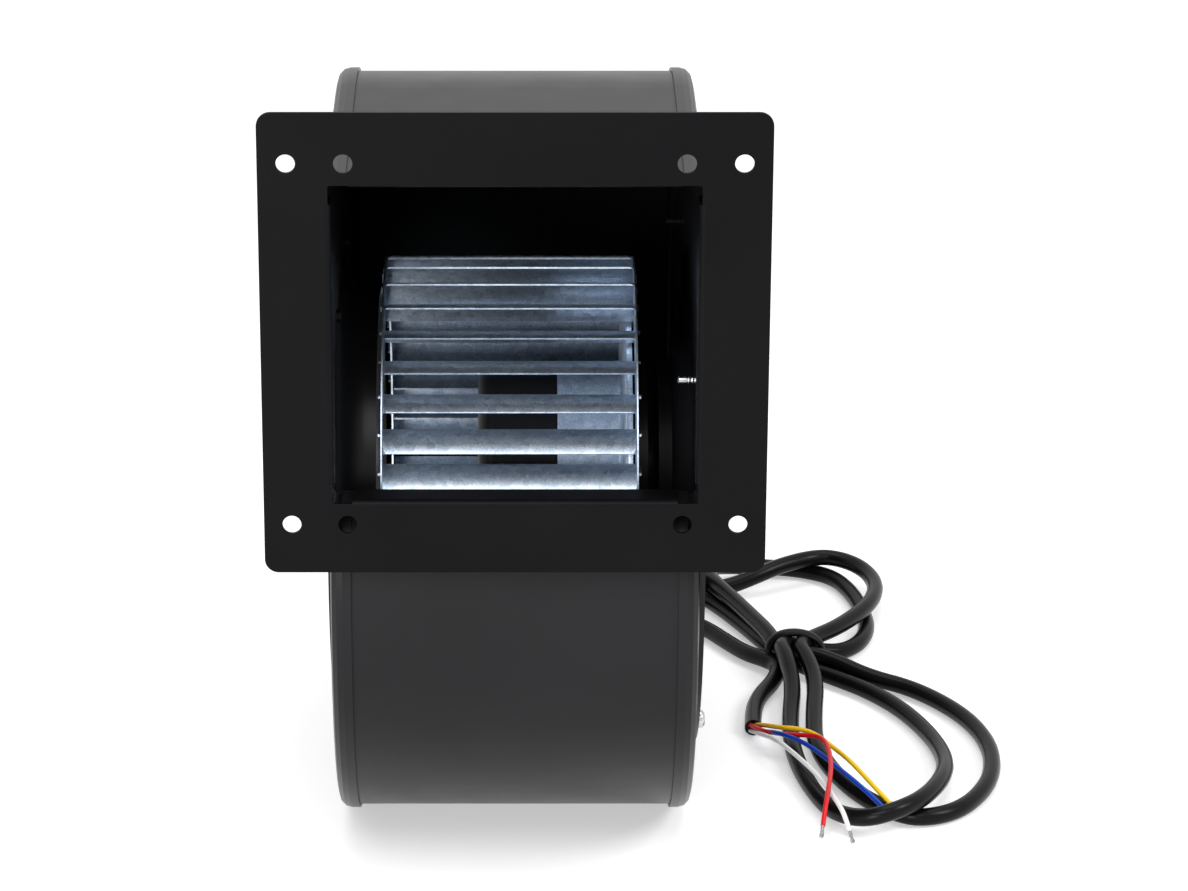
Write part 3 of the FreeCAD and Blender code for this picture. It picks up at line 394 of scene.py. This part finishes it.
def laminated(name, dark, light, sheet_mm, metallic=0.9, roughness=0.45):
    """Stacked sheet edges: fine bands across the wheel's axis."""
    material, tree, shader = new_material(name)
    vector = object_coordinates(tree)
    wave = tree.nodes.new("ShaderNodeTexWave")
    wave.bands_direction = "X"
    wave.inputs["Scale"].default_value = 1000.0 / sheet_mm / WAVE_FACTOR
    tree.links.new(vector, wave.inputs["Vector"])
    tint(tree, shader, wave.outputs["Fac"], dark, light, low=0.2, high=0.8)
    shader.inputs["Metallic"].default_value = metallic
    shader.inputs["Roughness"].default_value = roughness
    relief(tree, shader, wave.outputs["Fac"], 0.5, depth_mm=0.03)
    return material


def wound(name, dark, light, wire_mm):
    """Enamelled wire wound side by side."""
    return laminated(name, dark, light, wire_mm, metallic=0.7, roughness=0.3)


BLACK_PAINT = painted("black_paint", (0.007, 0.007, 0.008), (0.010, 0.010, 0.0115),
                      roughness=0.32, specular=0.19)
# The flange gets a darker, less glossy copy of the black paint: painted shade that keeps it darker than the
# band.
FLANGE_SHADED_PAINT = painted("flange_shaded_paint", (0.003, 0.003, 0.0035), (0.0044, 0.0044, 0.005),
                       roughness=0.36, specular=0.07)
# A darker, duller copy of the black paint: painted shade for parts deep in the duct.
DUCT_SHADE_PAINT = painted("duct_shade_paint", (0.004, 0.004, 0.0046), (0.006, 0.006, 0.0068),
                     roughness=0.42, specular=0.12)
MOTOR_PAINT = painted("motor_paint", (0.004, 0.004, 0.0045), (0.007, 0.007, 0.008),
                      roughness=0.45, specular=0.2, grain_mm=0.5)
ZINC_SHEET = galvanised("galvanised", (0.33, 0.42, 0.54), (0.76, 0.84, 0.94), roughness=0.42)
# A black finish for the die-cast motor flange: painted shade that keeps its edge in the recess dark.
MOTOR_FLANGE_SHADE_BLACK = painted("motor_flange_shade_black", (0.004, 0.004, 0.0045), (0.007, 0.007, 0.0078),
                     roughness=0.5, specular=0.12, grain_mm=0.9, depth_mm=0.012)
ZINC_PLATE = bare_metal("zinc", (0.42, 0.43, 0.45), (0.60, 0.61, 0.63), roughness=0.26, scale=900.0)
BEARING_STEEL = bare_metal("bearing_steel", (0.55, 0.55, 0.56), (0.70, 0.70, 0.71),
                           roughness=0.18, scale=1200.0, stretch=(6, 1, 1))
LAMINATION = laminated("lamination", (0.16, 0.17, 0.19), (0.42, 0.43, 0.46), sheet_mm=0.5)
FERRITE = moulded("ferrite", (0.035, 0.035, 0.038), (0.06, 0.06, 0.065),
                  roughness=0.6, specular=0.4, scale=900.0, depth_mm=0.02)
DIE_CAST = bare_metal("die_cast", (0.45, 0.46, 0.47), (0.60, 0.61, 0.62),
                      roughness=0.42, scale=700.0, depth_mm=0.02)
WINDING = wound("winding", (0.30, 0.09, 0.03), (0.72, 0.30, 0.13), wire_mm=0.6)
INSULATION = moulded("insulation", (0.62, 0.58, 0.48), (0.72, 0.69, 0.60),
                     roughness=0.45, specular=0.5, scale=800.0, depth_mm=0.01)
BOARD = moulded("circuit_board", (0.012, 0.10, 0.04), (0.02, 0.16, 0.07),
                roughness=0.3, specular=0.5, scale=600.0, depth_mm=0.01)
CHIP = moulded("chip", (0.010, 0.010, 0.011), (0.02, 0.02, 0.021),
               roughness=0.5, specular=0.5, scale=1500.0, depth_mm=0.01)
BOOT_RUBBER = moulded("rubber_black", (0.008, 0.008, 0.008), (0.014, 0.014, 0.014),
                      roughness=0.5, specular=0.4, scale=1300.0, depth_mm=0.01)
SHEATH = moulded("cable_black", (0.003, 0.003, 0.0031), (0.005, 0.005, 0.0052),
                 roughness=0.28, specular=0.12, scale=900.0, depth_mm=0.008)
TIE = moulded("tie_black", (0.003, 0.003, 0.003), (0.005, 0.005, 0.005),
              roughness=0.36, specular=0.15, scale=1100.0, depth_mm=0.01)
YELLOW = moulded("core_yellow", (0.90, 0.56, 0.010), (0.96, 0.64, 0.015),
                 roughness=0.35, specular=0.3, scale=1200.0, depth_mm=0.006)
RED = moulded("core_red", (0.62, 0.008, 0.012), (0.74, 0.012, 0.018),
              roughness=0.35, specular=0.3, scale=1200.0, depth_mm=0.006)
BLUE = moulded("core_blue", (0.002, 0.04, 0.38), (0.004, 0.06, 0.48),
               roughness=0.35, specular=0.3, scale=1200.0, depth_mm=0.006)
WHITE = moulded("core_white", (0.82, 0.82, 0.81), (0.88, 0.88, 0.87),
                roughness=0.35, specular=0.4, scale=1200.0, depth_mm=0.006)
TINNED = bare_metal("tinned", (0.32, 0.32, 0.34), (0.55, 0.55, 0.57), roughness=0.35, scale=1500.0)

SLOT_MATERIALS = {
    "black_paint": BLACK_PAINT, "motor_paint": MOTOR_PAINT, "galvanised": ZINC_SHEET, "zinc": ZINC_PLATE,
    "bearing_steel": BEARING_STEEL, "lamination": LAMINATION, "ferrite": FERRITE, "die_cast": DIE_CAST,
    "winding": WINDING, "insulation": INSULATION, "circuit_board": BOARD, "chip": CHIP,
    "rubber_black": BOOT_RUBBER, "cable_black": SHEATH, "tie_black": TIE, "core_yellow": YELLOW,
    "core_red": RED, "core_blue": BLUE, "core_white": WHITE, "tinned": TINNED,
}


def set_material(piece, material):
    piece.data.materials.clear()
    piece.data.materials.append(material)


for row in frame["record"]["subparts"]:
    set_material(NODES[row["node"]], SLOT_MATERIALS[row["material_slot"]])
# Painted shade: the flange takes the darker copy of the housing's black paint.
set_material(NODES["outlet_flange"], FLANGE_SHADED_PAINT)
# The rivets are painted over with the housing, in the darker copy of its paint that paints shade deep in the
# duct.
set_material(NODES["nozzle_rivets"], DUCT_SHADE_PAINT)
# Painted shade: the die-cast motor flange takes a black finish, so its edge in the recess stays dark.
set_material(NODES["motor_flange"], MOTOR_FLANGE_SHADE_BLACK)


# End rings of the wheel: flat sheet with a small turned inner edge

RING_OUTER = 80.5
RING_INNER = 65.3
RING_SHEET = 0.8
RING_EDGE = 0.15
RING_LIP = 0.9
LIP_START = 0.5
LIP_TOP = 0.6
LIP_BEVEL = 0.2
LIP_BEND = 0.7
RING_STEPS = 180
WHEEL_LEFT = -49.4
WHEEL_RIGHT = 45.4


def end_ring(name, outside, inward, replaced):
    """Flat ring whose outer face lies at outside. Its inner edge turns a little towards inward."""
    profile = [
        (0.0, RING_OUTER - RING_EDGE),
        (RING_EDGE, RING_OUTER),
        (RING_SHEET - RING_EDGE, RING_OUTER),
        (RING_SHEET, RING_OUTER - RING_EDGE),
        (RING_SHEET, RING_INNER + RING_SHEET),
        (RING_LIP, RING_INNER + LIP_TOP),
        (RING_LIP, RING_INNER),
        (LIP_START, RING_INNER),
        (LIP_BEVEL, RING_INNER + LIP_BEVEL),
        (0.0, RING_INNER + LIP_BEND),
    ]
    vertices = []
    for step in range(RING_STEPS):
        turn = 2 * math.pi * step / RING_STEPS
        for reach, radius in profile:
            vertices.append(place(outside + inward * reach, AXIS_Y + radius * math.cos(turn),
                                  AXIS_Z + radius * math.sin(turn)))
    faces = ring_faces(RING_STEPS, len(profile), True)
    if inward < 0:
        faces = [face[::-1] for face in faces]
    piece = mesh_piece(name, mesh_from(name, vertices, faces, 35), "wheel")
    set_material(piece, ZINC_SHEET)
    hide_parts(replaced)


end_ring("inlet_ring", WHEEL_LEFT, 1, "inlet_end_ring")
end_ring("motor_ring", WHEEL_RIGHT, -1, "motor_end_ring")


# Cable pieces

cable = cord_curve("cable", CABLE_ROUTE, CABLE_RADIUS)
set_material(cable, SHEATH)
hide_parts("cable_lead", "cable_hank", "cable_tail")

CORE_MATERIALS = {"core_yellow": YELLOW, "core_red": RED, "core_blue": BLUE, "core_white": WHITE}
STRAND_COUNT = 7
STRAND_RADIUS = 0.24
STRAND_CIRCLE = 0.44
STRAND_SPREAD = 0.35
STRAND_PITCH = 9.0
STRAND_SUNK = 0.6
STRAND_STEPS = 14
STRAND_SIDES = 6
TIN_LENGTH = 6.0


def tinned_end(name, points):
    """Twisted strands that go on from the end of a core. They start inside it and spread unevenly."""
    end = points[-1]
    along = (points[-1] - points[-4]).normalized()
    side = along.orthogonal().normalized()
    up = along.cross(side)
    vertices = []
    faces = []
    for strand in range(STRAND_COUNT):
        line = []
        for step in range(STRAND_STEPS + 1):
            share = step / STRAND_STEPS
            reach = share * TIN_LENGTH
            turn = 2 * math.pi * (reach / STRAND_PITCH + strand / (STRAND_COUNT - 1))
            circle = 0.0 if strand == 0 else STRAND_CIRCLE * (1.0 + STRAND_SPREAD * share * (strand % 3))
            offset = (side * math.cos(turn) + up * math.sin(turn)) * circle
            line.append(end + (along * (reach - STRAND_SUNK) + offset) * MM)
        radii = [STRAND_RADIUS * MM] * STRAND_STEPS + [STRAND_RADIUS / 2 * MM]
        more, sides = swept_tube(line, radii, STRAND_SIDES)
        start = len(vertices)
        vertices.extend(more)
        faces.extend(tuple(start + index for index in face) for face in sides)
    piece = mesh_piece(name, mesh_from(name, vertices, faces, 60), "housing")
    set_material(piece, TINNED)
    return piece


for core_name, route in CORE_ROUTES.items():
    core = cord_curve(core_name + "_wire", route, CORE_RADIUS)
    set_material(core, CORE_MATERIALS[core_name])
    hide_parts(core_name)
    line = centreline(core)
    tinned_end(core_name + "_tip", line)
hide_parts("core_tips")


# Tie: a rubber band drawn round the strands

TIE_CENTRE = (117.0, 94.0, 9.3)
TIE_HALF_WIDTH = 12.6
TIE_HALF_HEIGHT = 9.0
TIE_BAND = 1.5
TIE_DEPTH = 2.6
TIE_STEPS = 72
TIE_SIDES = 12
TIE_RIPPLE = 0.02
TIE_WAVES = 3
TIE_WAVE_START = 0.6
TIE_LEAN = 0.12


def tie_band():
    """Ring round the strands, slightly wavy, that leans back as it rises."""
    vertices = []
    for index in range(TIE_STEPS):
        turn = 2 * math.pi * index / TIE_STEPS
        radial = Vector((math.cos(turn), 0.0, math.sin(turn)))
        ripple = 1.0 + TIE_RIPPLE * math.sin(TIE_WAVES * turn + TIE_WAVE_START)
        centre = Vector((TIE_HALF_WIDTH * math.cos(turn), 0.0, TIE_HALF_HEIGHT * math.sin(turn))) * ripple
        lean = Vector((0.0, TIE_LEAN * (centre.z + TIE_HALF_HEIGHT), 0.0))
        for step in range(TIE_SIDES):
            tilt = 2 * math.pi * step / TIE_SIDES
            offset = radial * (TIE_BAND * math.cos(tilt)) + Vector((0.0, TIE_DEPTH * math.sin(tilt), 0.0))
            vertices.append((Vector(TIE_CENTRE) + centre - radial * TIE_BAND + lean + offset) * MM)
    faces = ring_faces(TIE_STEPS, TIE_SIDES, True)
    piece = mesh_piece("tie", mesh_from("tie", vertices, faces, 60), "housing")
    set_material(piece, TIE)
    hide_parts("cable_tie")
    return piece


tie = tie_band()

round(length_of(centreline(cable)), 3)


# Motor plate screws: cross recess in a pan head, formed thread and a smooth point

PLATE_FACE = 69.0
SCREW_CIRCLE = 100.5
SCREW_TURNS = (-38.8, 51.2, 141.2, 231.2)
BRIGHT_SCREW = 2
SCREW_STEPS = 40
SCREW_LENGTH = 10.0

HEAD_RADIUS = 3.4
HEAD_HEIGHT = 2.5
HEAD_FLAT = 0.45
HEAD_SIDE = 0.35
HEAD_STEPS = 8
HEAD_EDGE = 0.15
HEAD_EDGE_LIFT = 0.02

THREAD_ROOT = 1.2
THREAD_CREST = 1.55
THREAD_PITCH = 1.3
CREST_HALF = 0.08
FLANK_SHARE = 0.45

POINT_LENGTH = 3.4
POINT_RADIUS = 1.4
POINT_STEP = 0.2
POINT_BEVEL = 0.35
POINT_BEVEL_DEPTH = 0.4

RECESS_DEPTH = 1.1
RECESS_ARM = 2.0
RECESS_HALF_WIDTH = 0.5
RECESS_TAPER = 0.45


def screw_profile():
    """Half outline (x along the axis, radius) from the middle of the head's top to the point."""
    outline = [(HEAD_HEIGHT, 0.0), (HEAD_HEIGHT, HEAD_RADIUS * HEAD_FLAT)]
    for step in range(HEAD_STEPS + 1):
        turn = math.pi / 2 * step / HEAD_STEPS
        outline.append((HEAD_HEIGHT * (HEAD_SIDE + (1 - HEAD_SIDE) * math.cos(turn)),
                        HEAD_RADIUS * (HEAD_FLAT + (1 - HEAD_FLAT) * math.sin(turn))))
    outline.append((HEAD_EDGE_LIFT, HEAD_RADIUS))
    outline.append((0.0, HEAD_RADIUS - HEAD_EDGE))
    outline.append((0.0, THREAD_ROOT))
    thread_end = SCREW_LENGTH - POINT_LENGTH
    crests = int(thread_end / THREAD_PITCH)
    for crest in range(crests):
        reach = -(thread_end - (crests - crest - 0.5) * THREAD_PITCH)
        outline.append((reach + FLANK_SHARE * THREAD_PITCH, THREAD_ROOT))
        outline.append((reach + CREST_HALF, THREAD_CREST))
        outline.append((reach - CREST_HALF, THREAD_CREST))
    outline.append((-thread_end, THREAD_ROOT))
    outline.append((-thread_end - POINT_STEP, POINT_RADIUS))
    outline.append((-SCREW_LENGTH + POINT_BEVEL, POINT_RADIUS))
    outline.append((-SCREW_LENGTH, POINT_RADIUS - POINT_BEVEL_DEPTH))
    outline.append((-SCREW_LENGTH, 0.0))
    return outline


def screw_seat(turn, height):
    """Middle of a screw at this height over the motor plate."""
    angle = math.radians(turn)
    return Vector((PLATE_FACE + height, AXIS_Y + SCREW_CIRCLE * math.cos(angle),
                   AXIS_Z + SCREW_CIRCLE * math.sin(angle)))


def screw_mesh():
    """All screws as turned bodies. Shanks but the bright one's have the second material, the duct's darker
    paint, as painted shade that hides their glints.
    """
    mesh = bmesh.new()
    outline = screw_profile()
    for number, turn in enumerate(SCREW_TURNS):
        seat = screw_seat(turn, 0.0)
        rings = []
        for reach, radius in outline:
            ring = []
            for step in range(SCREW_STEPS):
                angle = 2 * math.pi * step / SCREW_STEPS
                offset = Vector((reach, radius * math.cos(angle), radius * math.sin(angle)))
                ring.append(mesh.verts.new((seat + offset) * MM))
            rings.append(ring)
        for start, first, second in zip(outline, rings, rings[1:]):
            # The other screws' shanks take the duct's darker paint as painted shade, so they show no glint.
            shank_in_painted_shade = start[0] < 0 and number != BRIGHT_SCREW
            for step in range(SCREW_STEPS):
                following = (step + 1) % SCREW_STEPS
                face = mesh.faces.new([first[step], second[step], second[following], first[following]])
                face.material_index = 1 if shank_in_painted_shade else 0
    bmesh.ops.remove_doubles(mesh, verts=mesh.verts, dist=1e-6)
    bmesh.ops.dissolve_degenerate(mesh, dist=1e-7, edges=mesh.edges)
    bmesh.ops.recalc_face_normals(mesh, faces=mesh.faces)
    data = bpy.data.meshes.new("plate_screws")
    mesh.to_mesh(data)
    mesh.free()
    data.shade_smooth()
    data.set_sharp_from_angle(angle=math.radians(35))
    return data


def recess_cutter():
    """Two crossed bars in each screw head, narrower at the bottom."""
    cutters = bmesh.new()
    for turn in SCREW_TURNS:
        seat = screw_seat(turn, HEAD_HEIGHT)
        for half_y, half_z in ((RECESS_HALF_WIDTH, RECESS_ARM), (RECESS_ARM, RECESS_HALF_WIDTH)):
            made = bmesh.ops.create_cube(cutters, size=2.0)
            for vertex in made["verts"]:
                share = 1.0 if vertex.co.x > 0 else RECESS_TAPER
                corner = Vector((vertex.co.x * RECESS_DEPTH, vertex.co.y * half_y * share,
                                 vertex.co.z * half_z * share))
                vertex.co = seat * MM + corner * MM
    data = bpy.data.meshes.new("recess")
    cutters.to_mesh(data)
    cutters.free()
    cutter = bpy.data.objects.new("recess", data)
    bpy.context.scene.collection.objects.link(cutter)
    return cutter


def plate_screws():
    piece = mesh_piece("plate_screws", screw_mesh(), "housing")
    piece.data.materials.append(ZINC_PLATE)
    # Second slot: painted shade on the screw shanks inside the duct.
    piece.data.materials.append(DUCT_SHADE_PAINT)
    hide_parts("motor_plate_screws")
    cutter = recess_cutter()
    cut = piece.modifiers.new("recess", "BOOLEAN")
    cut.operation = "DIFFERENCE"
    cut.solver = "EXACT"
    cut.use_self = True
    cut.object = cutter
    depsgraph = bpy.context.evaluated_depsgraph_get()
    piece.data = bpy.data.meshes.new_from_object(piece.evaluated_get(depsgraph))
    piece.modifiers.clear()
    bpy.data.objects.remove(cutter)


plate_screws()


# Stage: pale floor, white surroundings and soft lamps. The floor and the lamps' sizes are in metres.

FLOOR_HALF = 12.0
FLOOR_DROP = 0.0002
FLOOR_GREY = 0.80
FLOOR_GLOW = 0.42
WORLD_LIGHT = 0.5


def white_for_view(tree):
    """One for camera, glossy and transmission rays, and zero for the light that falls on things."""
    path = tree.nodes.new("ShaderNodeLightPath")
    first = tree.nodes.new("ShaderNodeMath")
    first.operation = "MAXIMUM"
    tree.links.new(path.outputs["Is Camera Ray"], first.inputs[0])
    tree.links.new(path.outputs["Is Glossy Ray"], first.inputs[1])
    second = tree.nodes.new("ShaderNodeMath")
    second.operation = "MAXIMUM"
    tree.links.new(first.outputs[0], second.inputs[0])
    tree.links.new(path.outputs["Is Transmission Ray"], second.inputs[1])
    return second.outputs[0]


def make_floor():
    mesh = bpy.data.meshes.new("floor")
    corners = [(x * FLOOR_HALF, y * FLOOR_HALF, 0) for x, y in ((-1, -1), (1, -1), (1, 1), (-1, 1))]
    mesh.from_pydata(corners, [], [(0, 1, 2, 3)])
    floor = bpy.data.objects.new("floor", mesh)
    floor.location.z = -FLOOR_DROP
    bpy.context.scene.collection.objects.link(floor)
    material = bpy.data.materials.new("floor")
    material.use_nodes = True
    tree = material.node_tree
    tree.nodes.clear()
    output = tree.nodes.new("ShaderNodeOutputMaterial")
    both = tree.nodes.new("ShaderNodeAddShader")
    matte = tree.nodes.new("ShaderNodeBsdfDiffuse")
    matte.inputs["Color"].default_value = (FLOOR_GREY, FLOOR_GREY, FLOOR_GREY, 1)
    glow = tree.nodes.new("ShaderNodeEmission")
    glow.inputs["Color"].default_value = (1, 1, 1, 1)
    strength = tree.nodes.new("ShaderNodeMath")
    strength.operation = "MULTIPLY"
    strength.inputs[1].default_value = FLOOR_GLOW
    tree.links.new(white_for_view(tree), strength.inputs[0])
    tree.links.new(strength.outputs[0], glow.inputs["Strength"])
    tree.links.new(matte.outputs[0], both.inputs[0])
    tree.links.new(glow.outputs[0], both.inputs[1])
    tree.links.new(both.outputs[0], output.inputs["Surface"])
    mesh.materials.append(material)


def make_world():
    world = bpy.data.worlds.new("studio")
    world.use_nodes = True
    tree = world.node_tree
    tree.nodes.clear()
    output = tree.nodes.new("ShaderNodeOutputWorld")
    background = tree.nodes.new("ShaderNodeBackground")
    background.inputs["Color"].default_value = (1, 1, 1, 1)
    tree.links.new(span(tree, white_for_view(tree), WORLD_LIGHT, 1.0), background.inputs["Strength"])
    tree.links.new(background.outputs[0], output.inputs["Surface"])
    bpy.context.scene.world = world


def make_lamp(name, location_mm, target_mm, size, power):
    """Soft rectangular lamp with this size and power in watts, turned towards the target."""
    data = bpy.data.lights.new(name, "AREA")
    data.shape = "RECTANGLE"
    data.size = size[0]
    data.size_y = size[1]
    data.energy = power
    lamp = bpy.data.objects.new(name, data)
    lamp.location = place(*location_mm)
    lamp.rotation_euler = (place(*target_mm) - lamp.location).to_track_quat("-Z", "Y").to_euler()
    bpy.context.scene.collection.objects.link(lamp)


make_floor()
make_world()
make_lamp("top", (0, 300, 1700), (0, 0, 100), (1.4, 0.8), 9.0)
make_lamp("key", (-260, -1060, 1310), (0, -90, 160), (1.0, 0.6), 9.0)
make_lamp("front", (-620, -1450, 420), (0, -60, 200), (0.5, 0.5), 10.0)
make_lamp("right", (1100, -500, 1100), (110, 40, 0), (0.4, 0.6), 10.0)
bpy.context.scene.view_settings.view_transform = "Standard"

bpy.context.view_layer.update()
